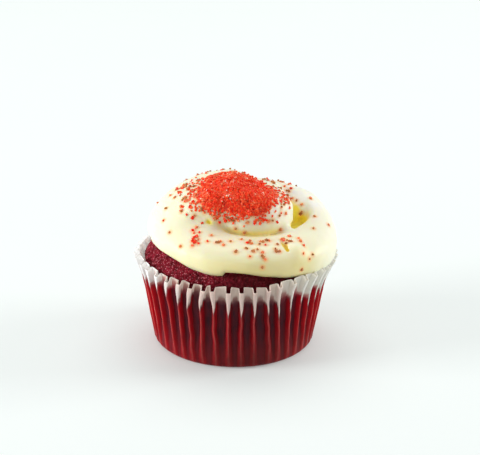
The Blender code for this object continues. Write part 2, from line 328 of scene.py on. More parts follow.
def ridge_lines():
    """Angles of all the ridges at the three levels: those seen at the front as
    they run there, the rest evenly spread with a little jitter."""
    rng = np.random.default_rng(3)
    seen = np.array(SEEN)
    rest = PLEATS - len(seen)
    jitter = rng.uniform(-0.9, 0.9, (rest, 1))
    share = (np.arange(rest)[:, None] + 1.0) / (rest + 1)
    back = seen[-1] + (360.0 + seen[0] - seen[-1]) * share + jitter
    return np.radians(np.concatenate([seen, back]) - 90.0)


RIDGES = ridge_lines()


def ridge_at(k, Z):
    """Angle of ridge k (an array of numbers) at height Z."""
    low, mid, high = (RIDGES[k, i] for i in range(3))
    t = (Z - LEVELS[1]) / (LEVELS[2] - LEVELS[1])
    u = (LEVELS[1] - Z) / (LEVELS[1] - LEVELS[0])
    return mid + np.where(Z > LEVELS[1], (high - mid) * np.clip(t, 0, 1), (low - mid) * np.clip(u, 0, 1.3))


def build_case(mat):
    rng = np.random.default_rng(17)
    n = PLEATS
    wobble = rng.uniform(-1, 1, (n, 3))
    lift = 0.22 * rng.standard_normal((n, 2)).clip(-1.6, 1.6)
    dip = 0.18 * rng.standard_normal(n).clip(-1.6, 1.6)
    soak_tooth = rng.normal(0.0, 0.70, n).clip(-1.3, 1.4)
    soak_ridge = rng.normal(0.0, 0.7, n).clip(-1.3, 1.3)
    lean = rng.uniform(-1, 1, n)
    # local samples across one pitch, as signed mm from the ridge at rim size
    crest, wall = 0.50, 0.42
    side = [crest * 0.0, crest * 0.5, crest]
    side += [crest + wall * f for f in (0.2, 0.4, 0.6, 0.8, 1.0)]
    cols = []          # (pleat, signed fraction code)
    for k in range(n):
        for s in side:
            cols.append((k, s, 0.0))
        for f in (0.12, 0.3, 0.5, 0.7, 0.88):
            cols.append((k, None, f))
        for s in side[:0:-1]:
            cols.append((k + 1, -s, 0.0))
    kk = np.array([c[0] for c in cols])
    is_flat = np.array([c[1] is None for c in cols])
    sv = np.array([0.0 if c[1] is None else c[1] for c in cols])
    fv = np.array([c[2] for c in cols])
    rows = np.concatenate([np.linspace(0, 0.03, 3), np.linspace(0.03, 0.13, 8)[1:],
                           np.linspace(0.13, 0.55, 16)[1:], np.linspace(0.55, 1.0, 26)[1:]])
    V = rows[:, None] * np.ones(len(cols))[None, :]
    Z0 = V * RIDGE_H
    pitch = 2 * pi / n
    # lines of the ridges waver a little on their way down
    def line(idx, Z):
        a = ridge_at(idx % n, Z) + 2 * pi * (idx // n)
        t = Z / RIDGE_H
        amp = np.sin(np.clip(t, 0, 1) * pi) ** 0.8
        w = wobble[idx % n]
        # at the left the rim folds over towards the middle
        place = (np.degrees(a) + 270.0) % 360.0 - 180.0
        a = a + radians(4.2) * np.clip((Z - 24.0) / 9.0, 0.0, 1.1) ** 1.6 \
            * smoothstep(-14.0, -20.0, place) * smoothstep(-88.0, -64.0, place)
        return a + amp * (w[..., 0] * 0.006 * np.sin(7.0 * t + 3 * w[..., 1])
                          + w[..., 2] * 0.006 * np.sin(13.0 * t + 5 * w[..., 0])
                          + w[..., 1] * 0.004 * np.sin(27.0 * t + 7 * w[..., 2]))

    K = kk[None, :] * np.ones_like(V, int)
    A0 = line(K, Z0)
    # width of crest and wall in radians, wider low on the cup
    up, foot = smoothstep(23.5, 30.5, Z0), smoothstep(9.0, 1.5, Z0)
    place = (np.degrees(A0) + 270.0) % 360.0 - 180.0
    narrow = 1.0 - 0.42 * smoothstep(2.0, 15.0, place) * smoothstep(75.0, 55.0, place)
    wide_c = (0.16 + 0.60 * up * narrow + 0.14 * foot) / 35.0
    wide_w = (1.45 - 0.35 * smoothstep(8.0, 18.0, Z0) - 0.80 * up + 0.25 * foot) / 35.0
    s_abs = np.abs(sv)[None, :]
    within = np.where(s_abs <= crest, s_abs / crest * wide_c,
                      wide_c + (s_abs - crest) / wall * wide_w)
    ang_ridge = A0 + np.sign(sv)[None, :] * within
    Knext = K + 1
    A1 = line(Knext, Z0)
    left = A0 + wide_c + wide_w
    right = A1 - wide_c - wide_w
    ang_flat = left + (right - left) * fv[None, :]
    ANG = np.where(is_flat[None, :], ang_flat, ang_ridge)
    G = np.where(is_flat[None, :], 0.0, 1 - smoothstep(0.0, 1.0, np.clip((s_abs - crest) / wall, 0, 1)))
    G = G + np.zeros_like(V)
    # rounded crest and slightly bowed flats
    crown = np.where(is_flat[None, :], 0.0, np.clip(1 - (s_abs / crest) ** 2, 0, 1)) * 0.10
    bow = np.where(is_flat[None, :], 4 * fv * (1 - fv), 0.0)[None, :] if is_flat.ndim == 0 else \
        (np.where(is_flat, 4 * fv * (1 - fv), 0.0)[None, :] * 0.10)
    # heights at the rim: teeth stand above the ridges, each a little askew
    tooth = (kk % n)
    across = np.where(is_flat, fv, np.where(sv >= 0, 0.0, 1.0))
    own = np.where(sv < 0, (kk - 1) % n, tooth)
    tilt = lift[own, 0] * (1 - across) + lift[own, 1] * across
    ridge_top = dip[kk % n]
    step = smoothstep(0.30, 0.85, G[-1])
    top = RIDGE_H + (1 - step) * (TOOTH_LIFT + tilt) + step * ridge_top + wave(ANG[-1], RIM_LIFT)
    Z = V * RIDGE_H + smoothstep(0.70, 1.0, V) * (top[None, :] - RIDGE_H)
    R = wall_radius(Z * RIDGE_H / np.maximum(top[None, :], 1e-6))
    depth = pleat_depth(Z)
    flare = 0.35 * smoothstep(0.8, 1.0, V) * NOISE(np.cos(ANG) * 2.2, np.sin(ANG) * 2.2, 3.3 + 0 * V)
    flare = flare + wave(ANG, RIM_PUSH) * np.clip((V - 0.76) / 0.24, 0, 1) ** 1.4
    R = R - depth * (1 - G) + crown * smoothstep(2, 10, Z) - bow * smoothstep(4, 14, Z) + flare
    R = R + 0.06 * smoothstep(1.0, 4.0, Z) * NOISE(ANG * 14.0, Z * 0.35, 0 * Z + 1.7)
    X, Y = R * np.cos(ANG), R * np.sin(ANG)
    # how far the sponge behind has soaked the sheet: an arch on each tooth,
    # running down to a point on each ridge
    mid = np.where(is_flat, np.abs(fv - 0.5) * 2, 1.0)[None, :]
    u = np.degrees(ANG) + 90.0
    u = (u + 180.0) % 360.0 - 180.0
    arch = 28.2 + 2.1 * smoothstep(-12.0, -30.0, u) * smoothstep(-62.0, -50.0, u) \
        - 0.9 * smoothstep(14.0, 30.0, u) - 1.6 * smoothstep(46.0, 58.0, u) \
        - 1.9 * smoothstep(-56.0, -68.0, u) + soak_tooth[own][None, :] - 1.0 * mid ** 3.0 - 0.9 * lean[own][None, :] * (across - 0.5)[None, :]
    off = within * 35.0
    tip = np.interp(u, TIP_AT, TIP_Z) + 0.8 * soak_ridge[kk % n][None, :] \
        + 5.0 * off + 24.0 * np.maximum(off - 0.60, 0.0) ** 1.2
    # wider at the left; at the right only the very crest stays clean
    tip = tip - 7.0 * np.maximum(off - 0.45, 0.0) * np.where(sv > 0, smoothstep(-10.0, -18.0, u) * smoothstep(-42.0, -32.0, u), 0.0)
    tip = tip + 17.0 * np.maximum(off - 0.25, 0.0) * np.where(sv < 0, smoothstep(8.0, 18.0, u), 0.0)
    bound = np.where(is_flat[None, :], arch, np.minimum(tip, arch))
    bound = bound + 0.40 * NOISE(X * 0.9, Y * 0.9, Z * 0.9) + 0.25 * NOISE(X * 2.3 + 9, Y * 2.3, Z * 2.3)
    soft = np.where(is_flat[None, :], 2.8 + 0.6 * smoothstep(-12.0, -26.0, u) + 1.5 * smoothstep(-46.0, -60.0, u) + 1.3 * smoothstep(14.0, 32.0, u), 1.2 + 0.9 * smoothstep(18.0, 40.0, np.abs(u))) + np.where(is_flat, 1.0 * (1 - np.abs(fv - 0.5) * 2), 0.0)[None, :]
    # at the left it fades out over a longer stretch of each tooth
    long = np.where(is_flat[None, :], 1.7 * smoothstep(-12.0, -24.0, u) * smoothstep(-96.0, -82.0, u), 0.0)
    soak = smoothstep(soft + long, -1.1 * soft, Z - bound)
    # painted light: 0 at the front of the cup, 1 at its sides; the paper is painted darker at the front in painted
    # shade and lighter at the sides as if lit by the side lamps
    side_lit = smoothstep(22.0, 58.0, np.abs(u))
    outer = np.stack([X, Y, Z], -1).reshape(-1, 3)
    cols_n = len(cols)
    # inner skin: offset along the surface normal
    P = np.stack([X, Y, Z], -1)
    du = np.roll(P, -1, 1) - np.roll(P, 1, 1)
    dv = np.gradient(P, axis=0)
    N = np.cross(du, dv)
    N /= np.maximum(np.linalg.norm(N, axis=2), 1e-9)[..., None]
    N[0] = (0, 0, -1)
    inner = (P - N * SHEET).reshape(-1, 3)
    verts = [outer, inner]
    rows_n = len(rows)
    faces = [grid_faces(rows_n, cols_n), grid_faces(rows_n, cols_n, len(outer), flip=True)]
    top_o = (rows_n - 1) * cols_n + np.arange(cols_n)
    nxt = (rows_n - 1) * cols_n + (np.arange(cols_n) + 1) % cols_n
    faces.append(np.stack([top_o, nxt, nxt + len(outer), top_o + len(outer)], 1))
    # base: rings to the centre, below and above
    base_faces = []
    count = 2 * len(outer)
    soak_all = [soak.ravel(), soak.ravel()]
    side_lit_all = [side_lit.ravel(), side_lit.ravel()]
    mark = np.where(is_flat[None, :], 0.10 * smoothstep(0.25, 0.95, mid), np.maximum(G, 0.10))
    # painted light: the inner skin near the rim takes the lighter ridge colours, as if lit through the paper
    g_all = [mark.ravel(), np.maximum(mark, 0.8 * smoothstep(26.0, 30.0, Z)).ravel()]
    for skin in (0, 1):
        prev = skin * len(outer) + np.arange(cols_n)
        for f in (0.94, 0.85, 0.7, 0.5, 0.25):
            ring = P[0] * np.array([f, f, 0.0])
            ring[:, 2] = 0.0 if skin == 0 else SHEET
            idx = count + np.arange(cols_n)
            verts.append(ring)
            soak_all.append(np.ones(cols_n))
            g_all.append(np.full(cols_n, 0.3))
            side_lit_all.append(np.zeros(cols_n))
            count += cols_n
            q = np.stack([prev, np.roll(prev, -1), np.roll(idx, -1), idx], 1)
            faces.append(q[:, ::-1] if skin == 0 else q)
            prev = idx
        verts.append(np.array([[0.0, 0.0, 0.0 if skin == 0 else SHEET]]))
        soak_all.append(np.ones(1))
        g_all.append(np.full(1, 0.3))
        side_lit_all.append(np.zeros(1))
        t = np.stack([prev, np.roll(prev, -1), np.full(cols_n, count)], 1)
        base_faces.append(t[:, ::-1] if skin == 0 else t)
        count += 1
    ob = mesh_object("paper_case_sheet", np.concatenate(verts), faces + base_faces, mat, smooth=True,
                     attrs={"soak": np.concatenate(soak_all), "ridge": np.concatenate(g_all),
                            "side_lit": np.concatenate(side_lit_all)})
    return ob


def paper_material():
    m = Nodes("greaseproof_paper")
    soak, ridge, side_lit = m.attribute("soak"), m.attribute("ridge"), m.attribute("side_lit")
    xyz = m.new("ShaderNodeSeparateXYZ")
    m.link(m.coords(), xyz.inputs[0])
    x, z = xyz.outputs["X"], xyz.outputs["Z"]
    fine = m.noise(2600.0, 3.0, 0.6)
    mid = m.noise(420.0, 4.0, 0.6)
    # streaks that run down the wall
    stretch = m.new("ShaderNodeVectorMath", operation="MULTIPLY")
    m.link(m.coords(), stretch.inputs[0])
    stretch.inputs[1].default_value = (1.0, 1.0, 0.12)
    streak = m.noise(900.0, 3.0, 0.6, vector=stretch.outputs[0])
    # stained colours with painted light and shade: grooves dark maroon in painted shade, walls of the ridges painted
    # bright red as if lit through the paper, crests pinkish with a painted highlight
    stain_and_painted_light = m.ramp(ridge, [(0.0, (0.054, 0.0100, 0.020)), (0.10, (0.088, 0.0008, 0.006)),
                          (0.26, (0.350, 0.0005, 0.005)), (0.90, (0.520, 0.001, 0.008)),
                          (1.0, (0.580, 0.085, 0.075))])
    low = m.span(z, 0.002, 0.016, 1.0, 0.0, smooth=True)
    foot = m.mix(m.span(x, -0.016, 0.006), (0.230, 0.0030, 0.006), (0.165, 0.0180, 0.015))
    stain_and_painted_light = m.mix(m.math("MULTIPLY", low, 0.60), stain_and_painted_light, foot)
    stain_and_painted_light = m.mix(m.span(streak, 0.42, 0.75, 0.0, 0.38), stain_and_painted_light, (0.30, 0.003, 0.010))
    stain_and_painted_light = m.mix(m.span(mid, 0.40, 0.75, 0.0, 0.34), stain_and_painted_light, (0.13, 0.010, 0.018))
    # painted shade: the stained paper darkened at the front of the cup
    stain_and_painted_light = m.mix(m.span(side_lit, 0.0, 1.0, 0.26, 0.0), stain_and_painted_light, (0.030, 0.010, 0.010))
    # painted shade: the ridges in the middle of the front darkened
    front_shade = m.math("MULTIPLY", m.span(x, -0.014, 0.002, 0.04, 0.25), m.span(ridge, 0.15, 0.60))
    front_shade = m.math("MULTIPLY", front_shade, m.span(x, 0.009, 0.020, 1.0, 0.10))
    stain_and_painted_light = m.mix(front_shade, stain_and_painted_light, (0.035, 0.014, 0.014))
    # white paper: greyer at the front in painted shade, lighter at the sides as if lit
    shaded_front_white = m.mix(m.span(ridge, 0.15, 0.75, smooth=True), (0.68, 0.555, 0.485), (0.75, 0.53, 0.47))
    clean = m.mix(m.span(ridge, 0.15, 0.75, smooth=True), (0.88, 0.84, 0.76), (0.97, 0.95, 0.88))
    white = m.mix(side_lit, shaded_front_white, clean)
    white = m.mix(m.span(mid, 0.35, 0.75, 0.0, 0.13), white, (0.30, 0.22, 0.20))
    # painted light: the paper at the far left whitened as if lit through from behind by the left lamp
    white = m.mix(m.span(x, -0.023, -0.030, 0.0, 0.90), white, (0.99, 0.975, 0.94))
    white = m.mix(m.span(x, 0.012, 0.024, 0.0, 0.60), white, (0.86, 0.83, 0.69))
    # milky soaked paper, painted lighter at the sides as if lit by the side lamps
    side = m.span(side_lit, 0.0, 0.50)
    haze = m.mix(side, (0.310, 0.175, 0.155), (0.520, 0.240, 0.220))
    fade = m.mix(side, (0.130, 0.036, 0.042), (0.300, 0.035, 0.050))
    veil = m.mix(m.span(soak, 0.04, 0.42, smooth=True), white, haze)
    veil = m.mix(m.span(soak, 0.38, 0.72, smooth=True), veil, fade)
    colour = m.mix(m.span(soak, 0.66, 0.99, smooth=True), veil, stain_and_painted_light)
    m.link(colour, m.bsdf.inputs["Base Color"])
    m.link(m.math("ADD", m.span(soak, 0.0, 1.0, 0.60, 0.42), m.span(mid, 0.2, 0.8, -0.05, 0.07)),
           m.bsdf.inputs["Roughness"])
    m.link(m.bump(m.math("ADD", m.math("MULTIPLY", fine, 0.4), m.math("ADD", mid, streak)), 0.00012, 0.5),
           m.bsdf.inputs["Normal"])
    m.bsdf.inputs["Specular IOR Level"].default_value = 0.07
    m.bsdf.inputs["Subsurface Weight"].default_value = 0.8
    m.bsdf.inputs["Subsurface Radius"].default_value = (1.0, 0.95, 0.90)
    m.bsdf.inputs["Subsurface Scale"].default_value = 0.0006
    return m.mat


# ---- sponge -----------------------------------------------------------------
CAKE_EDGE_R, CAKE_EDGE_Z, CAKE_TOP = 31.3, 30.6, 41.5


def build_cake(mat):
    cols = 760
    ang = np.linspace(0, 2 * pi, cols, endpoint=False)
    # profile from the base to the top of the dome: (r, z)
    low = [(r, 0.35) for r in (6.0, 12.0, 18.0, 22.5)]
    z_side = np.concatenate([[0.5, 1.2, 2.2, 3.6], np.linspace(5.5, 24.0, 12), np.linspace(25.0, 30.0, 16)])
    side = []
    for z in z_side:
        t = max(0.0, (z - 18.0) / (CAKE_EDGE_Z - 18.0))
        r = float(wall_radius(z)) - 0.30 - (float(wall_radius(CAKE_EDGE_Z)) - CAKE_EDGE_R - 0.30) * t ** 1.4
        side.append((r, z))
    dome = []
    for t in np.concatenate([np.linspace(0, 0.42, 40), np.linspace(0.45, 0.98, 20)]):
        a = t * pi / 2
        dome.append((CAKE_EDGE_R * cos(a) ** 0.62,
                     CAKE_EDGE_Z + (CAKE_TOP - CAKE_EDGE_Z) * sin(a)))
    prof = np.array(low + side + dome)
    R = prof[:, 0][:, None] * np.ones(cols)
    Z = prof[:, 1][:, None] * np.ones(cols)
    # the covered part stays inside the grooves of the case
    R = np.minimum(R, wall_radius(Z) - pleat_depth(Z) - 0.40 + 3.0 * smoothstep(28.6, 30.6, Z))
    A = ang[None, :] * np.ones_like(R)
    # open crumb: coarse lumps, then pits and grains
    x, y = R * np.cos(A), R * np.sin(A)
    lump = NOISE(x * 0.16, y * 0.16, Z * 0.16)
    crumb = NOISE(x * 0.9, y * 0.9, Z * 0.9)
    grain = NOISE(x * 2.1 + 5, y * 2.1, Z * 2.1)
    open_part = smoothstep(26.0, 29.5, Z)
    push = open_part * (0.45 * lump + 0.26 * crumb + 0.30 * grain - 0.26 * np.abs(NOISE(x * 1.4, y * 1.4, Z * 1.4 + 7)))
    # push along the profile's own normal
    P = np.stack([x, y, Z], -1)
    du = np.roll(P, -1, 1) - np.roll(P, 1, 1)
    dv = np.gradient(P, axis=0)
    N = np.cross(du, dv)
    N /= np.maximum(np.linalg.norm(N, axis=2), 1e-9)[..., None]
    P = P + N * push[..., None]
    # held in by the grooves of the case up to its rim
    far = np.hypot(P[..., 0], P[..., 1])
    z = P[..., 2]
    room = wall_radius(z * RIDGE_H / 34.3) - pleat_depth(z) - 0.60 + 4.0 * smoothstep(30.8, 33.2, z)
    P[..., :2] *= np.minimum(1.0, room / np.maximum(far, 1e-6))[..., None]
    pts = P.reshape(-1, 3)
    rows = len(prof)
    faces = [grid_faces(rows, cols)]
    verts = [pts, np.array([[0, 0, 0.35], [0, 0, CAKE_TOP]])]
    first = np.arange(cols)
    last = (rows - 1) * cols + first
    lo, hi = len(pts), len(pts) + 1
    faces.append(np.stack([np.roll(first, -1), first, np.full(cols, lo)], 1))
    faces.append(np.stack([last, np.roll(last, -1), np.full(cols, hi)], 1))
    # painted shade: the sponge at the front right, under the frosting's overhang, darker and with fewer bright specks
    overhang_shade = smoothstep(-1.95, -1.50, np.arctan2(P[..., 1], P[..., 0])) * (P[..., 1] < 0)
    return mesh_object("sponge", np.concatenate(verts), faces, mat,
                       attrs={"overhang_shade": np.concatenate([overhang_shade.ravel(), np.zeros(2)])})


def cake_material():
    m = Nodes("red_velvet_sponge")
    coarse = m.noise(420.0, 4.0, 0.65)
    fine = m.noise(1300.0, 3.0, 0.65)
    speck = m.voronoi(1600.0)
    pit = m.voronoi(760.0)
    base = m.ramp(coarse, [(0.32, (0.076, 0.0006, 0.0045)), (0.50, (0.185, 0.0015, 0.011)),
                           (0.68, (0.305, 0.009, 0.030))])
    # painted highlights: bright pinkish specks on the crumb grains, fewer under the frosting's overhang
    bright = m.math("MULTIPLY", m.span(speck, 0.12, 0.42, 1.0, 0.0), m.span(fine, 0.40, 0.55, 0.0, 1.0))
    overhang_shade = m.attribute("overhang_shade")
    base = m.mix(m.math("MULTIPLY", bright, m.span(overhang_shade, 0.0, 1.0, 1.0, 0.25)), base, (0.74, 0.25, 0.29))
    # painted shade: the pits of the crumb darkened
    base = m.mix(m.span(pit, 0.0, 0.32, 0.85, 0.0), base, (0.022, 0.0003, 0.002))
    # painted shade: darker under the frosting's overhang at the front right
    base = m.mix(m.math("MULTIPLY", overhang_shade, 0.55), base, (0.045, 0.002, 0.003))
    m.link(base, m.bsdf.inputs["Base Color"])
    m.link(m.span(fine, 0.3, 0.7, 0.85, 0.60), m.bsdf.inputs["Roughness"])
    n1 = m.bump(m.math("SUBTRACT", coarse, m.span(pit, 0.0, 0.3, 0.5, 0.0)), 0.0006, 0.8)
    m.link(m.bump(fine, 0.0003, 0.8, n1), m.bsdf.inputs["Normal"])
    m.bsdf.inputs["Subsurface Weight"].default_value = 0.10
    m.bsdf.inputs["Subsurface Radius"].default_value = (1.0, 0.2, 0.2)
    m.bsdf.inputs["Subsurface Scale"].default_value = 0.0010
    m.bsdf.inputs["Specular IOR Level"].default_value = 0.14
    return m.mat


# ---- frosting ---------------------------------------------------------------
FROST_X, FROST_Y = 2.6, 0.5


def dome_radius(z):
    """Radius of the sponge's dome at height z, nothing above its top."""
    s = np.clip((z - CAKE_EDGE_Z) / (CAKE_TOP - CAKE_EDGE_Z), -1, 1)
    return CAKE_EDGE_R * np.maximum(1 - s * np.abs(s), 0) ** 0.31


def segment_distance(X, Y, Z, a, b):
    """Distance from each point to the straight line from a to b."""
    ex, ey, ez = b[0] - a[0], b[1] - a[1], b[2] - a[2]
    t = np.clip(((X - a[0]) * ex + (Y - a[1]) * ey + (Z - a[2]) * ez) / (ex * ex + ey * ey + ez * ez), 0.0, 1.0)
    return np.sqrt((X - a[0] - t * ex) ** 2 + (Y - a[1] - t * ey) ** 2 + (Z - a[2] - t * ez) ** 2)


def frosting_field(X, Y, Z):
    dx, dy = X - FROST_X, Y - FROST_Y
    r = np.hypot(dx, dy)
    phi = np.arctan2(dy, dx)
    # outer roll, values every 30 degrees from the right, anticlockwise seen from above
    #                 0    30    60    90    120   150   180   210   240   270   300   330
    out = wave(phi, (33.3, 33.0, 32.6, 32.0, 31.6, 31.6, 32.2, 33.0, 33.4, 33.0, 33.2, 33.4))
    crest = wave(phi, (25.0, 24.0, 20.0, 19.0, 19.0, 19.0, 20.0, 20.0, 20.5, 20.6, 21.0, 21.8))
    mid = wave(phi, (37.0, 38.5, 40.0, 41.0, 42.0, 42.0, 41.2, 41.4, 40.4, 40.2, 39.4, 37.6))
    top = wave(phi, (47.2, 50.4, 52.0, 52.2, 53.2, 52.3, 50.5, 49.0, 47.4, 45.7, 45.3, 45.4))
    low = wave(phi, (30.0, 30.5, 32.5, 34.5, 36.0, 36.0, 34.8, 37.4, 36.2, 36.0, 33.4, 30.0))
    # a lip hanging at the front ends in a small step
    deg = np.degrees(phi)
    low = low - 1.6 * smoothstep(-135.0, -103.0, deg) * smoothstep(-101.0, -102.2, deg)
    outer = out - crest
    inner = wave(phi, (3.2, 5.0, 9.0, 12.0, 14.0, 14.0, 15.0, 12.0, 6.0, 5.5, 5.0, 4.5))
    up = (Z - mid) / (top - mid)
    across = np.where(r > crest, (r - crest) / outer, (crest - r) / inner)
    pu = 2.1
    upper = ((across ** pu + np.abs(up) ** pu) ** (1 / pu) - 1.0) * outer
    wl = 6.0
    pl = 2.6
    lower = ((np.maximum(r - (out - wl), 0) / wl) ** pl + (np.abs(mid - Z) / (mid - low)) ** pl) ** (1 / pl)
    lower = (lower - 1.0) * wl
    roll = np.where(Z > mid, upper, lower)
    core = ((r / 27.0) ** 3 + (np.abs(Z - 33.0) / 10.2) ** 3) ** (1 / 3)
    roll = smooth_min(roll, (core - 1.0) * 9.0, 2.0)
    # a shoulder at the right, behind the end of the swirl
    shoulder = (np.sqrt(((X - 22.5) / 9.0) ** 2 + ((Y - 11.5) / 9.5) ** 2 + ((Z - 41.5) / 9.0) ** 2) - 1.0) * 9.0
    roll = smooth_min(roll, shoulder, 2.0)
    # the swirl winding inward from the left and back to an upright end at the right
    tx, ty = X - 4.6, Y + 0.4
    tr = np.hypot(tx, ty)
    tphi = np.arctan2(ty, tx)
    #                  0     15    30    45    60    75    90    105   120   135   150   165
    reach = wave(tphi, (16.2, 15.6, 15.4, 16.5, 19.0, 22.0, 24.6, 26.4, 27.7, 28.8, 29.9, 30.8,
                        31.0, 30.0, 27.5, 21.6, 17.6, 16.6, 16.3, 16.3, 16.4, 16.6, 16.9, 16.9))
    wide = smoothstep(17.0, 32.0, reach)
    lid = 59.8 - 5.6 * smoothstep(-4.0, 14.0, X) * smoothstep(-16.0, -1.0, Y)
    zc = 50.0 - 7.6 * wide
    zb = 39.0 - 1.0 * wide
    q = 2.8 - 0.55 * wide
    across = (tr / reach) ** q
    swirl = np.where(Z > zc, (across + (np.abs(Z - zc) / (lid - zc)) ** q) ** (1 / q),
                     (across + (np.abs(Z - zc) / (zc - zb)) ** q) ** (1 / q))
    swirl = (swirl - 1.0) * (9.0 + 12.0 * wide)
    # its end is cut off upright, as a knife leaves it
    end = 0.97 * (X - 19.6) + 0.26 * (Y + 3.5)
    swirl = -smooth_min(-swirl, -end, 0.9)
    blend = 1.7 + 5.0 * smoothstep(0.20, 0.56, -np.cos(phi) + 0.3 * np.maximum(np.sin(phi), 0))
    # it runs into the roll again behind its end, and low down in front of it
    blend = blend + 6.0 * np.exp(-((X - 15.0) ** 2 + (Y - 10.5) ** 2 + (Z - 50.5) ** 2) / 25.0)
    blend = blend + 4.5 * np.exp(-((X - 17.4) ** 2 + (Y + 9.8) ** 2 + (Z - 45.4) ** 2) / 10.0)
    body = smooth_min(roll, swirl, blend)
    body = body + 0.30 * NOISE(X * 0.10, Y * 0.10, Z * 0.10) + 0.12 * NOISE(X * 0.28, Y * 0.28, Z * 0.28)
    # a small gouge in the roll at the front, with a lump beside it
    lump = np.sqrt((X - 19.9) ** 2 + (Y + 22.6) ** 2 + (Z - 41.6) ** 2) - 3.0
    body = smooth_min(body, lump, 3.4)
    slit = segment_distance(X, Y, Z, (16.0, -20.7, 45.3), (17.7, -25.2, 42.9)) - 0.80
    body = -smooth_min(-body, slit, 0.6)
    # the bottom of the gap behind the swirl's end
    pocket = segment_distance(X, Y, Z, (22.9, 2.4, 43.6), (20.8, 0.2, 42.7)) - 1.15
    body = -smooth_min(-body, pocket, 1.0)
    tail = segment_distance(X, Y, Z, (20.4, -3.2, 44.8), (20.2, -9.6, 46.0)) - 0.75
    body = -smooth_min(-body, tail, 1.0)
    # and a nick where the swirl lifts off the roll
    nick = segment_distance(X, Y, Z, (-9.2, -15.6, 49.6), (-8.5, -15.9, 49.2)) - 0.42
    body = -smooth_min(-body, nick, 0.5)
    seat = dome_radius(Z) + 0.02 - np.hypot(X, Y)
    seat = np.where(Z < CAKE_TOP + 0.1, seat * 0.7, CAKE_TOP + 0.1 - Z)
    rim = -np.maximum(Z - 33.1, 32.6 - np.hypot(X, Y))
    floor = 31.0 - Z
    return np.maximum(np.maximum(np.maximum(body, seat), floor), rim)


def surface_from_field(field, lo, hi, cell):
    """Closed quad surface where the field is zero, one point to a crossed cell."""
    ax = [np.arange(lo[i], hi[i] + cell, cell) for i in range(3)]
    X, Y, Z = np.meshgrid(*ax, indexing="ij")
    F = field(X, Y, Z)
    # where inside and outside meet like a chequerboard, one outside corner is
    # taken in, so that no edge of the surface carries four faces
    for _ in range(8):
        S = F < 0
        mended = 0
        for axis in range(3):
            u, v = (axis + 1) % 3, (axis + 2) % 3

            def corner(du, dv):
                at = [slice(None)] * 3
                at[u] = slice(1, None) if du else slice(0, -1)
                at[v] = slice(1, None) if dv else slice(0, -1)
                return S[tuple(at)]

            a, b, c, d = corner(0, 0), corner(1, 0), corner(0, 1), corner(1, 1)
            for mask, step in ((a & d & ~b & ~c, 1), (b & c & ~a & ~d, 0)):
                at = list(np.nonzero(mask))
                at[u] = at[u] + step
                F[tuple(at)] = -0.04
                mended += len(at[0])
        if not mended:
            break
    S = F < 0
    acc = np.zeros(tuple(n - 1 for n in F.shape) + (3,))
    cnt = np.zeros(tuple(n - 1 for n in F.shape))

    def cut(c):
        return tuple(slice(c[i], F.shape[i] - 1 + c[i]) for i in range(3))

    for p in [(a, b, c) for a in (0, 1) for b in (0, 1) for c in (0, 1)]:
        for axis in range(3):
            if p[axis]:
                continue
            q = tuple(p[i] + (1 if i == axis else 0) for i in range(3))
            f0, f1 = F[cut(p)], F[cut(q)]
            crossed = (f0 < 0) != (f1 < 0)
            t = np.where(crossed, f0 / np.where(crossed, f0 - f1, 1.0), 0.0)
            for i in range(3):
                add = p[i] + (t if i == axis else 0.0)
                acc[..., i] += np.where(crossed, add, 0.0)
            cnt += crossed
    used = cnt > 0
    index = -np.ones(used.shape, int)
    index[used] = np.arange(used.sum())
    cellpos = np.stack(np.nonzero(used), 1)
    verts = (cellpos + acc[used] / cnt[used][:, None]) * cell + np.array(lo)
    faces = []
    for axis in range(3):
        u, v = (axis + 1) % 3, (axis + 2) % 3
        s0 = [slice(None)] * 3
        s1 = [slice(None)] * 3
        s0[axis] = slice(0, -1)
        s1[axis] = slice(1, None)
        a, b = S[tuple(s0)], S[tuple(s1)]
        for flip, mask in ((False, a & ~b), (True, ~a & b)):
            pos = np.stack(np.nonzero(mask), 1)
            quad = []
            for du, dv in ((-1, -1), (0, -1), (0, 0), (-1, 0)):
                c = pos.copy()
                c[:, u] += du
                c[:, v] += dv
                quad.append(index[c[:, 0], c[:, 1], c[:, 2]])
            quad = np.stack(quad, 1)
            faces.append(quad[:, ::-1] if flip else quad)
    return verts, np.concatenate(faces)


def relax(verts, faces, steps, factor=0.5):
    """Even out the extracted surface a little."""
    e = np.concatenate([faces[:, [0, 1]], faces[:, [1, 2]], faces[:, [2, 3]], faces[:, [3, 0]]])
    e = np.concatenate([e, e[:, ::-1]])
    cnt = np.bincount(e[:, 0], minlength=len(verts)).astype(float)
    for i in range(steps):
        f = factor if i % 2 == 0 else -factor * 1.04
        mean = np.stack([np.bincount(e[:, 0], weights=verts[e[:, 1], k], minlength=len(verts))
                         for k in range(3)], 1) / cnt[:, None]
        verts = verts + (mean - verts) * f
    return verts


def build_frosting():
    cell = 0.5
    verts, faces = surface_from_field(frosting_field, (-35.0, -37.0, 28.0), (41.0, 38.0, 65.0), cell)
    verts = relax(verts, faces, 8)
    return verts, faces, closeness(verts, faces)


def vertex_normals(verts, faces):
    a, b, c, d = (verts[faces[:, i]] for i in range(4))
    fn = np.cross(c - a, d - b)
    out = np.stack([sum(np.bincount(faces[:, i], weights=fn[:, k], minlength=len(verts))
                        for i in range(4)) for k in range(3)], 1)
    return out / np.maximum(np.linalg.norm(out, axis=1), 1e-9)[:, None]


def closeness(verts, faces):
    """0 where the frosting lies open, towards 1 down in its folds."""
    normals = vertex_normals(verts, faces)
    total = np.zeros(len(verts))
    for reach, weight in ((1.5, 0.30), (3.0, 0.35), (6.0, 0.35)):
        q = verts + normals * reach
        free = frosting_field(q[:, 0], q[:, 1], q[:, 2])
        total += weight * np.clip(1.0 - free / reach, 0.0, 1.0)
    return total


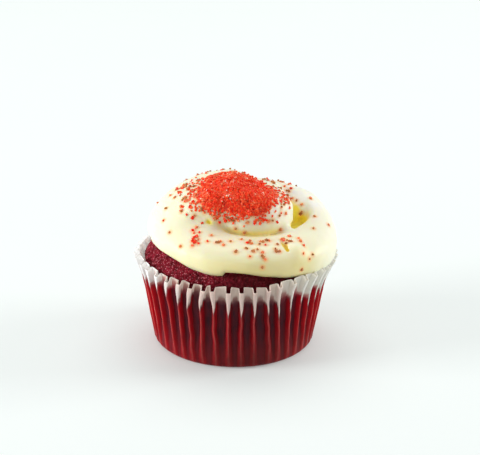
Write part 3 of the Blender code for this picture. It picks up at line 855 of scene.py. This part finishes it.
def cleft_tint(verts, folds):
    """Painted shade: towards 1 in the deepest places, which are tinted deep yellow: behind the swirl's cut end, in the
    gouge, in the nick and, less, along the crease at the front."""
    tint = np.zeros(len(verts))
    for a, b, size, much in (((19.9, 6.4, 48.6), (21.4, 4.0, 46.4), 2.2, 0.5),
                             ((21.4, 4.0, 46.4), (22.9, 2.2, 43.8), 2.7, 1.2),
                             ((22.9, 2.2, 43.8), (20.6, -0.4, 42.0), 2.4, 1.2),
                             ((16.0, -21.4, 44.6), (17.6, -25.0, 42.6), 1.3, 0.9),
                             ((20.4, -2.6, 44.4), (20.2, -9.0, 45.6), 1.2, 0.6),
                             ((-9.2, -15.6, 49.5), (-8.5, -15.9, 49.1), 1.0, 0.9),
                             ((-6.4, -15.8, 48.7), (-3.2, -16.5, 46.8), 1.6, 0.20),
                             ((-3.2, -16.5, 46.6), (3.4, -16.5, 45.4), 1.0, 0.34),
                             ((3.4, -16.5, 45.4), (10.6, -16.8, 45.1), 1.0, 0.40),
                             ((10.6, -16.8, 45.1), (14.2, -14.0, 45.1), 1.0, 0.32)):
        gap = segment_distance(verts[:, 0], verts[:, 1], verts[:, 2], a, b)
        tint = np.maximum(tint, much * np.exp(-(gap / size) ** 2))
    return tint * smoothstep(0.05, 0.40, folds)


def pale_part(verts):
    """Painted light: whiter frosting on the front of the swirl beside its cut end, and on the
    shoulder behind it, where it is painted as more brightly lit."""
    front = segment_distance(verts[:, 0], verts[:, 1], verts[:, 2], (13.4, -14.0, 52.4), (18.0, -9.6, 49.6))
    back = segment_distance(verts[:, 0], verts[:, 1], verts[:, 2], (20.0, 14.5, 51.2), (27.5, 6.5, 49.0))
    wall = segment_distance(verts[:, 0], verts[:, 1], verts[:, 2], (-2.0, -16.8, 50.4), (11.0, -15.8, 49.8))
    return np.maximum(np.maximum(np.exp(-(front / 5.0) ** 2), np.exp(-(back / 5.5) ** 2)),
                      0.65 * np.exp(-(wall / 4.0) ** 2))


def frosting_material():
    m = Nodes("cream_cheese_frosting")
    broad = m.noise(70.0, 3.0, 0.5)
    fine = m.noise(650.0, 3.0, 0.55)
    fold, under, stain = m.attribute("fold"), m.attribute("under"), m.attribute("stain")
    cleft = m.attribute("cleft")
    # painted shade: frosting that faces down or sideways is yellower and darker
    colour = m.ramp(under, [(0.0, (0.880, 0.852, 0.618)), (0.20, (0.856, 0.818, 0.548)),
                            (0.42, (0.834, 0.768, 0.440)), (1.0, (0.765, 0.655, 0.285))])
    colour = m.mix(m.span(broad, 0.35, 0.70, 0.0, 0.25), colour, (0.90, 0.84, 0.56))
    # painted light: paler at both edges, as if lit by the side lamps
    xyz = m.new("ShaderNodeSeparateXYZ")
    m.link(m.coords(), xyz.inputs[0])
    wide = m.math("ABSOLUTE", m.math("SUBTRACT", xyz.outputs["X"], 0.002))
    colour = m.mix(m.span(wide, 0.021, 0.033, 0.0, 0.65, smooth=True), colour, (0.925, 0.930, 0.800))
    # painted light: whiter where the frosting is painted as brightly lit
    colour = m.mix(m.math("MULTIPLY", m.attribute("pale"), 0.75), colour, (0.940, 0.950, 0.880))
    # painted shade: the folds tinted deep yellow
    colour = m.mix(m.span(fold, 0.52, 0.92, 0.0, 0.65, smooth=True), colour, (1.0, 0.820, 0.350))
    # painted shade: deep yellow in the clefts, the gouge, the nick and the crease
    colour = m.mix(m.span(cleft, 0.03, 0.75), colour, (1.0, 0.800, 0.085))
    colour = m.mix(m.span(stain, 0.0, 0.85, 0.0, 0.62), colour, (1.0, 0.48, 0.14))
    colour = m.mix(m.span(stain, 0.86, 1.0, 0.0, 1.0), colour, (0.95, 0.055, 0.020))
    m.link(colour, m.bsdf.inputs["Base Color"])
    m.link(m.span(fine, 0.3, 0.7, 0.36, 0.48), m.bsdf.inputs["Roughness"])
    m.link(m.bump(m.math("ADD", m.math("MULTIPLY", broad, 0.6), m.math("MULTIPLY", fine, 0.10)), 0.0006, 0.5),
           m.bsdf.inputs["Normal"])
    m.bsdf.inputs["Subsurface Weight"].default_value = 0.6
    m.bsdf.inputs["Subsurface Radius"].default_value = (1.0, 0.75, 0.35)
    m.bsdf.inputs["Subsurface Scale"].default_value = 0.004
    m.bsdf.inputs["Specular IOR Level"].default_value = 0.35
    return m.mat


# ---- coloured sugar ---------------------------------------------------------
def crystal_shapes(rng, kinds=10):
    """Broken little blocks: boxes with their corners pushed about at random."""
    shapes = []
    corners = np.array([(x, y, z) for x in (-1, 1) for y in (-1, 1) for z in (-1, 1)], float)
    tris = [(0, 1, 3), (0, 3, 2), (4, 6, 7), (4, 7, 5), (0, 4, 5), (0, 5, 1),
            (2, 3, 7), (2, 7, 6), (0, 2, 6), (0, 6, 4), (1, 5, 7), (1, 7, 3)]
    for _ in range(kinds):
        c = corners * rng.uniform(0.55, 1.0, 3) * (1 + 0.22 * rng.standard_normal((8, 3)).clip(-1.4, 1.4))
        shapes.append((c * 0.5, np.array(tris)))
    return shapes


def random_rotations(rng, n):
    q = rng.standard_normal((n, 4))
    q /= np.linalg.norm(q, axis=1)[:, None]
    w, x, y, z = q.T
    return np.stack([1 - 2 * (y * y + z * z), 2 * (x * y - z * w), 2 * (x * z + y * w),
                     2 * (x * y + z * w), 1 - 2 * (x * x + z * z), 2 * (y * z - x * w),
                     2 * (x * z - y * w), 2 * (y * z + x * w), 1 - 2 * (x * x + y * y)], 1).reshape(-1, 3, 3)


SCATTER = [
    (197.5, 180.5), (294, 183), (273.5, 183.5), (288.5, 184.5), (185.5, 185.5), (190.5, 186.5),
    (194.5, 186.5), (284.5, 186.5), (183, 187.5), (180.5, 188.5), (280.5, 188.5), (291, 188.5),
    (178, 189.5), (187.5, 189.5), (176.5, 190), (192, 190.5), (198, 190.5), (286.5, 190.5),
    (289, 191.5), (189.5, 193.5), (170.5, 195.5), (287.5, 195.5), (195, 196), (175, 197.5),
    (186.5, 197.5), (183.5, 198.5), (292.5, 198.5), (310.5, 198.5), (287, 199), (186, 199.5),
    (182.5, 200), (296.5, 200.5), (193.5, 201.5), (158, 203), (288.5, 203.5), (284, 204.5),
    (301.5, 204.5), (181.5, 206.5), (281.5, 207), (153, 207.5), (166, 208.5), (201.5, 208.5),
    (181.5, 211.5), (204.5, 212.5), (301.5, 212.5), (281, 213), (214.5, 213.5), (194.5, 215.5),
    (212.5, 215.5), (279.5, 215.5), (314.5, 216.5), (227.5, 217.5), (215.5, 218.5), (235.5, 218.5),
    (230.5, 219.5), (163.5, 220.5), (225.5, 220.5), (233.5, 220.5), (272.5, 220.5), (268.5, 221.5),
    (219.5, 222.5), (247.5, 222.5), (328.5, 225), (196.5, 227.5), (235.5, 228.5), (313.5, 228.5),
    (280.5, 229.5), (193.5, 230.5), (169.5, 232.5), (199.5, 232.5), (244.5, 232.5), (194, 233),
    (211.5, 235.5), (197, 236.5), (289.5, 236.5), (193.5, 239.5), (198.5, 239.5), (241.5, 239.5),
    (282, 239.5), (266.5, 240.5), (283.5, 240.5), (287, 240.5), (207.5, 241.5), (220.5, 241.5),
    (230.5, 241.5), (260.5, 241.5), (291.5, 241.5), (300.5, 241.5), (194.5, 242.5), (196.5, 242.5),
    (216.5, 242.5), (218.5, 242.5), (249.5, 242.5), (286.5, 243.5), (259.5, 244.5), (277.5, 244.5),
    (223.5, 245), (265.5, 245), (192.5, 245.5), (303.5, 245.5), (180.5, 246.5), (246.5, 248.5),
    (257.5, 249.5), (235.5, 251.5), (253.5, 251.5), (276.5, 251.5), (279.5, 251.5), (262.5, 252.5),
    (303.5, 253.5), (312.5, 254.5), (263.5, 257.5), (309.5, 259), (265.5, 259.5), (262.5, 267.5),
    (301.5, 269.5), (192.5, 230.5), (194, 237.5), (192.5, 241), (196, 241), (198.5, 243.5), (250, 241),
    (247.5, 243), (251, 243.5), (269, 241), (236, 252.5), (250, 256.5), (275.5, 249), (284, 239),
    (289, 241.5), (298.5, 238.5), (263, 242), (262.5, 256), (186, 187), (187.5, 201), (185, 201.5),
    (300.5, 214), (285.5, 213.5),
]
# outline of the thick part of the heap, in the photograph's frame
HEAP = [(194, 198), (196, 191), (201, 178), (209, 172), (220, 167), (228, 165), (240, 168), (251, 172),
        (263, 177), (272, 184), (275, 191), (274, 199), (272, 206), (268, 213), (263, 217),
        (254, 218), (246, 216.5), (235, 214), (222, 212.5), (209, 209), (199, 205)]


# where single crystals lie thicker: right and left of the heap, and in a band below it
THIN = [(270, 182), (279, 183), (288, 187), (290, 199), (287, 204), (278, 206), (268, 205)]
EDGE = [(176, 187), (188, 180), (202, 172), (206, 178), (199, 192), (197, 205), (185, 204), (178, 196)]
BAND = [(198, 206), (210, 209), (222, 212), (246, 216), (262, 217), (275, 208), (284, 212), (280, 219),
        (262, 222.5), (240, 221.5), (222, 220.5), (208, 216)]


def to_pixels(pts):
    right, up, back = camera_frame()
    d = pts - (np.array(AIM) + back * DIST)
    depth = -(d @ back)
    f = DIST * PX_PER_MM
    return AIM_PX[0] + f * (d @ right) / depth, AIM_PX[1] - f * (d @ up) / depth


def outline_distance(px, py, outline):
    """Signed distance to a closed outline, negative inside."""
    best = np.full(px.shape, 1e9)
    inside = np.zeros(px.shape, bool)
    for (x0, y0), (x1, y1) in zip(outline, outline[1:] + outline[:1]):
        ex, ey = x1 - x0, y1 - y0
        t = np.clip(((px - x0) * ex + (py - y0) * ey) / (ex * ex + ey * ey), 0, 1)
        best = np.minimum(best, np.hypot(px - x0 - t * ex, py - y0 - t * ey))
        crosses = ((y0 > py) != (y1 > py)) & (px < (x1 - x0) * (py - y0) / (y1 - y0 + 1e-12) + x0)
        inside ^= crosses
    return np.where(inside, -best, best)


def heap_distance(pts, normals):
    """How far outside the heap a place on the frosting is, in millimetres."""
    px, py = to_pixels(pts)
    seen = outline_distance(px, py, HEAP) / PX_PER_MM
    dx, dy = pts[:, 0] - 1.0, pts[:, 1] + 2.5
    plan = (np.hypot(dx / 14.6, dy / 12.9) - 1.0) * 13.4
    hidden = smoothstep(4.0, 9.0, pts[:, 1])
    return seen * (1 - hidden) + plan * hidden


def build_sugar(mat, verts, faces):
    rng = np.random.default_rng(29)
    tree = BVHTree.FromPolygons([tuple(v) for v in verts], [tuple(int(i) for i in f) for f in faces])
    p0, p1, p2, p3 = (verts[faces[:, i]] for i in range(4))
    fn = np.cross(p2 - p0, p3 - p1) * 0.5
    size = np.linalg.norm(fn, axis=1)
    fn = fn / np.maximum(size, 1e-9)[:, None]
    mid = (p0 + p1 + p2 + p3) / 4
    d = heap_distance(mid, fn)
    rag = 0.9 * NOISE(mid[:, 0] * 0.35, mid[:, 1] * 0.35, mid[:, 2] * 0.35) \
        + 0.5 * NOISE(mid[:, 0] * 0.9, mid[:, 1] * 0.9, mid[:, 2] * 0.9)
    d = d + rag * 2.2 + 0.2
    per_mm2 = 1.25 * np.exp(-np.clip(d, 0, 20) / 1.4) + 5.6 * smoothstep(1.2, -3.4, d)
    px, py = to_pixels(mid)
    for outline, extra in ((THIN, 0.55), (EDGE, 0.19), (BAND, 0.28)):
        per_mm2 = per_mm2 + extra * smoothstep(3.0, -2.0, outline_distance(px, py, outline)) * (mid[:, 1] < 9.0)
    # thinner where the heap's far edge at the left turns away
    facing = fn @ camera_frame()[2]
    per_mm2 = per_mm2 * (1.0 - 0.7 * smoothstep(244.0, 226.0, px) * np.exp(-(facing / 0.17) ** 2))
    per_mm2 = per_mm2 * (1.0 - 0.62 * np.exp(-((px - 198.0) / 8.0) ** 2 - ((py - 194.0) / 11.0) ** 2))
    per_mm2 = per_mm2 * (1.0 - 0.55 * np.exp(-((px - 203.0) / 8.5) ** 2 - ((py - 179.0) / 6.0) ** 2))
    # a little thinner along a streak near the top
    per_mm2 = per_mm2 * (1.0 - 0.35 * np.exp(-((px - 229.0) / 7.0) ** 2 - ((py - 181.9 + 0.12 * (px - 229.0)) / 1.9) ** 2))
    per_mm2 = per_mm2 * (fn[:, 2] > -0.1) * (mid[:, 2] > 45.5) * (d < 9.0)
    count = rng.poisson(per_mm2 * size)
    which = np.repeat(np.arange(len(faces)), count)
    u, v = rng.random((2, len(which), 1))
    spot = (p0[which] * (1 - u) + p1[which] * u) * (1 - v) + (p3[which] * (1 - u) + p2[which] * u) * v
    thick = 0.30 * smoothstep(0.5, -4.0, d[which])
    clump = np.maximum(0.0, NOISE(spot[:, 0] * 0.42, spot[:, 1] * 0.42, spot[:, 2] * 0.42)) \
        + 0.5 * np.maximum(0.0, NOISE(spot[:, 0] * 1.1, spot[:, 1] * 1.1, spot[:, 2] * 1.1))
    thick = thick + 0.75 * clump * smoothstep(0.2, -2.0, d[which])
    spot = spot + fn[which] * (0.06 + thick * rng.uniform(0.35, 1.0, len(which)))[:, None]
    spots = [spot]
    sizes = [rng.uniform(0.50, 0.90, len(spot))]
    # single crystals where they can be seen on the frosting
    loose = []
    for px, py in SCATTER:
        o, ray = pixel_ray(px, py)
        hit, normal, _, _ = tree.ray_cast(Vector(o), Vector(ray))
        if hit is not None and hit.z > 33.0:
            loose.append(tuple(hit + normal * 0.14))
    # and a few more round the sides and back that the photograph does not show
    down = Vector((0, 0, -1))
    for _ in range(40):
        a = rng.uniform(0.20 * pi, 0.80 * pi)
        r = 19.0 + 12.0 * rng.random()
        hit, normal, _, _ = tree.ray_cast(Vector((FROST_X + r * cos(a), FROST_Y + r * sin(a), 90.0)), down)
        if hit is not None and hit.z > 38.0:
            loose.append(tuple(hit + normal * 0.14))
    loose = np.array(loose)
    spots.append(loose)
    sizes.append(rng.uniform(0.70, 1.02, len(loose)))
    spots, sizes = np.concatenate(spots), np.concatenate(sizes)
    n = len(spots)
    shapes = crystal_shapes(rng)
    rot = random_rotations(rng, n)
    kind = rng.integers(0, len(shapes), n)
    # partly painted light: deeper red low in the middle of the heap in painted shade, brighter on its top and at the
    # left as if lit there
    px, py = to_pixels(spots)
    tone_and_painted_light = 0.40 + 0.56 * rng.random(n) + 0.13 * NOISE(spots[:, 0] * 0.5, spots[:, 1] * 0.5, spots[:, 2] * 0.5) - 0.13 * np.exp(-((px - 236) / 24) ** 2 - ((py - 201) / 13) ** 2) \
        - 0.14 * np.exp(-((px - 227) / 20) ** 2 - ((py - 189) / 3.5) ** 2) \
        + 0.17 * np.exp(-((px - 232) / 12) ** 2 - ((py - 174) / 6) ** 2) \
        + 0.16 * np.exp(-((px - 200) / 9) ** 2 - ((py - 197) / 9) ** 2)
    tone_and_painted_light = np.clip(tone_and_painted_light, 0.38, 0.93)
    # painted glints: pale crystals standing in for highlights, most of them just left of the middle and in the streak
    # above it
    glint = rng.random(n) < 0.005 + 0.38 * np.exp(-((px - 228) / 3.6) ** 2 - ((py - 197.5) / 3.0) ** 2) \
        + 0.34 * np.exp(-((px - 230) / 5.5) ** 2 - ((py - 181.5 + 0.12 * (px - 230)) / 1.5) ** 2)
    tone_and_painted_light[glint] = 1.06
    sizes[glint] *= 0.66
    spots[:len(spot)] += fn[which] * 0.18 * glint[:len(spot), None]
    lone = np.concatenate([d[which] > 0.6, np.zeros(len(loose), bool)])
    tone_and_painted_light[lone] = np.where(rng.random(lone.sum()) < 0.24, rng.uniform(0.04, 0.33, lone.sum()),
                          rng.uniform(0.40, 0.95, lone.sum()))
    sizes[lone] *= 1.30
    # some brown ones along the heap's far edge
    far = np.concatenate([(d[which] > -2.0) & (d[which] <= 0.6), np.zeros(len(loose), bool)]) & (py < 186.0)
    far &= rng.random(n) < 0.16
    tone_and_painted_light[far] = rng.uniform(0.02, 0.30, far.sum())
    sizes[far] *= 1.15
    m = n - len(spot)
    brown = np.where((px[len(spot):] < 190.0) | (px[len(spot):] > 297.0), 0.92, 0.78)
    # orange in the clusters at the left of the front
    orange = (px[len(spot):] > 188.5) & (px[len(spot):] < 202.0) & (py[len(spot):] > 225.0)
    brown = np.where(orange, 0.50, brown)
    tone_and_painted_light[len(spot):] = np.where(rng.random(m) < brown, rng.uniform(0.0, 0.33, m), rng.uniform(0.33, 0.50, m))
    tone_and_painted_light[len(spot):] = np.where(orange, tone_and_painted_light[len(spot):] * 0.5 + 0.23, tone_and_painted_light[len(spot):])
    corners = np.stack([shape[0] for shape in shapes])[kind]
    # in the heap they lie flat, tipped a little this way and that
    m = len(spot)
    axis = fn[which] + 0.34 * rng.standard_normal((m, 3))
    axis /= np.linalg.norm(axis, axis=1)[:, None]
    side = np.cross(axis, rng.standard_normal((m, 3)))
    side /= np.linalg.norm(side, axis=1)[:, None]
    rot[:m] = np.stack([side, np.cross(axis, side), axis], 2)
    corners[:m, :, 2] *= 0.62
    V = np.einsum("nij,nkj->nki", rot, corners) * sizes[:, None, None] + spots[:, None, :]
    F = shapes[0][1][None] + 8 * np.arange(n)[:, None, None]
    print("crystals", n)
    # where sugar lies the frosting under it takes some of its colour
    off = heap_distance(verts, None)
    stain = 0.24 * smoothstep(4.5, 0.8, off) + 0.76 * smoothstep(1.2, -0.9, off)
    px, py = to_pixels(verts)
    stain = stain * (1.0 - 0.40 * np.exp(-((px - 202.0) / 9.0) ** 2 - ((py - 179.0) / 6.5) ** 2))
    for x, y, z in spots[d_small(spots, len(loose))]:
        near = np.abs(verts[:, 0] - x) + np.abs(verts[:, 1] - y) + np.abs(verts[:, 2] - z) < 2.8
        gap = np.linalg.norm(verts[near] - (x, y, z), axis=1)
        stain[near] = np.maximum(stain[near], 0.85 * smoothstep(1.7, 0.3, gap))
    ob = mesh_object("sugar_crystals", V.reshape(-1, 3), F.reshape(-1, 3), mat, smooth=False,
                     attrs={"tone_and_painted_light": np.repeat(tone_and_painted_light, 8)})
    return ob, stain


def d_small(spots, n):
    """Indices of the loose crystals, which close the list."""
    return np.arange(len(spots) - n, len(spots))


def sugar_material():
    m = Nodes("coloured_sugar")
    tone_and_painted_light = m.attribute("tone_and_painted_light")
    fine = m.noise(1800.0, 2.0, 0.5)
    # the top of the ramp is the pale colour of the painted glints
    colour = m.ramp(m.math("ADD", tone_and_painted_light, m.span(fine, 0.3, 0.7, -0.08, 0.08)),
                    [(0.0, (0.34, 0.135, 0.045)), (0.18, (0.60, 0.215, 0.080)), (0.32, (0.95, 0.260, 0.110)),
                     (0.42, (0.84, 0.024, 0.009)), (0.64, (1.0, 0.056, 0.015)), (0.84, (1.0, 0.122, 0.036)),
                     (0.97, (1.0, 0.26, 0.12)), (1.0, (1.0, 0.76, 0.58))])
    m.link(colour, m.bsdf.inputs["Base Color"])
    m.link(m.span(fine, 0.3, 0.7, 0.18, 0.36), m.bsdf.inputs["Roughness"])
    m.bsdf.inputs["Subsurface Weight"].default_value = 0.25
    m.bsdf.inputs["Subsurface Radius"].default_value = (1.0, 0.15, 0.06)
    m.bsdf.inputs["Subsurface Scale"].default_value = 0.0002
    m.bsdf.inputs["Specular IOR Level"].default_value = 0.1
    return m.mat


# ---- floor and light --------------------------------------------------------
def build_floor():
    m = Nodes("pale_floor")
    soft = m.noise(6.0, 2.0, 0.5)
    m.link(m.ramp(soft, [(0.3, (0.610, 0.656, 0.643)), (0.7, (0.620, 0.664, 0.651))]),
           m.bsdf.inputs["Base Color"])
    m.bsdf.inputs["Emission Color"].default_value = (0.975, 1.0, 0.985, 1.0)
    m.bsdf.inputs["Emission Strength"].default_value = 0.264
    m.bsdf.inputs["Roughness"].default_value = 0.9
    m.bsdf.inputs["Specular IOR Level"].default_value = 0.1
    n = 24
    s = np.linspace(-4000, 4000, n)
    X, Y = np.meshgrid(s, s)
    pts = np.stack([X.ravel(), Y.ravel(), np.zeros(n * n)], 1)
    floor = mesh_object("floor", pts, grid_faces(n, n, closed=False), m.mat)


def area(name, place, size, power, colour=(1, 1, 1), target=(0, 0, 0.035)):
    light = bpy.data.lights.new(name, "AREA")
    light.shape = "RECTANGLE"
    light.size, light.size_y = size
    light.energy = power
    light.color = colour
    ob = bpy.data.objects.new(name, light)
    scene.collection.objects.link(ob)
    ob.location = place
    ob.rotation_euler = (Vector(target) - Vector(place)).to_track_quat("-Z", "Y").to_euler()
    return ob


def build_light():
    world = bpy.data.worlds.new("studio")
    scene.world = world
    world.use_nodes = True
    bg = world.node_tree.nodes["Background"]
    bg.inputs["Color"].default_value = (1, 1, 1, 1)
    bg.inputs["Strength"].default_value = 0.50
    area("left_box", (-1.40, -0.30, 0.40), (0.60, 0.50), 16.5)
    area("right_box", (1.40, 0.25, 0.52), (0.60, 0.50), 10.6)
    area("top_box", (0.0, 0.50, 1.10), (1.3, 1.0), 5.6)


build_floor()
build_light()
case = build_case(paper_material())
cake = build_cake(cake_material())
f_verts, f_faces, fold = build_frosting()
sugar, stain = build_sugar(sugar_material(), f_verts, f_faces)
f_normals = vertex_normals(f_verts, f_faces)
# painted shade: how far the frosting faces down, less high up and towards the left and right edges, which are painted
# as lit
under = np.clip((1.0 - f_normals[:, 2]) / 1.2, 0.0, 1.0) * (1.0 - 0.55 * smoothstep(44.5, 49.0, f_verts[:, 2]))
under *= (1.0 - 0.62 * smoothstep(4.0, -16.0, f_verts[:, 0])) * (1.0 - 0.45 * smoothstep(20.0, 32.0, f_verts[:, 0]))
frosting = mesh_object("frosting_swirl", f_verts, f_faces, frosting_material(),
                       attrs={"fold": fold, "under": under, "stain": stain,
                              "cleft": cleft_tint(f_verts, fold), "pale": pale_part(f_verts)})

for piece, node in ((case, "paper_case"), (cake, "cake"), (frosting, "frosting")):
    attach(piece, "root")
    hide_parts(node)
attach(sugar, "root")
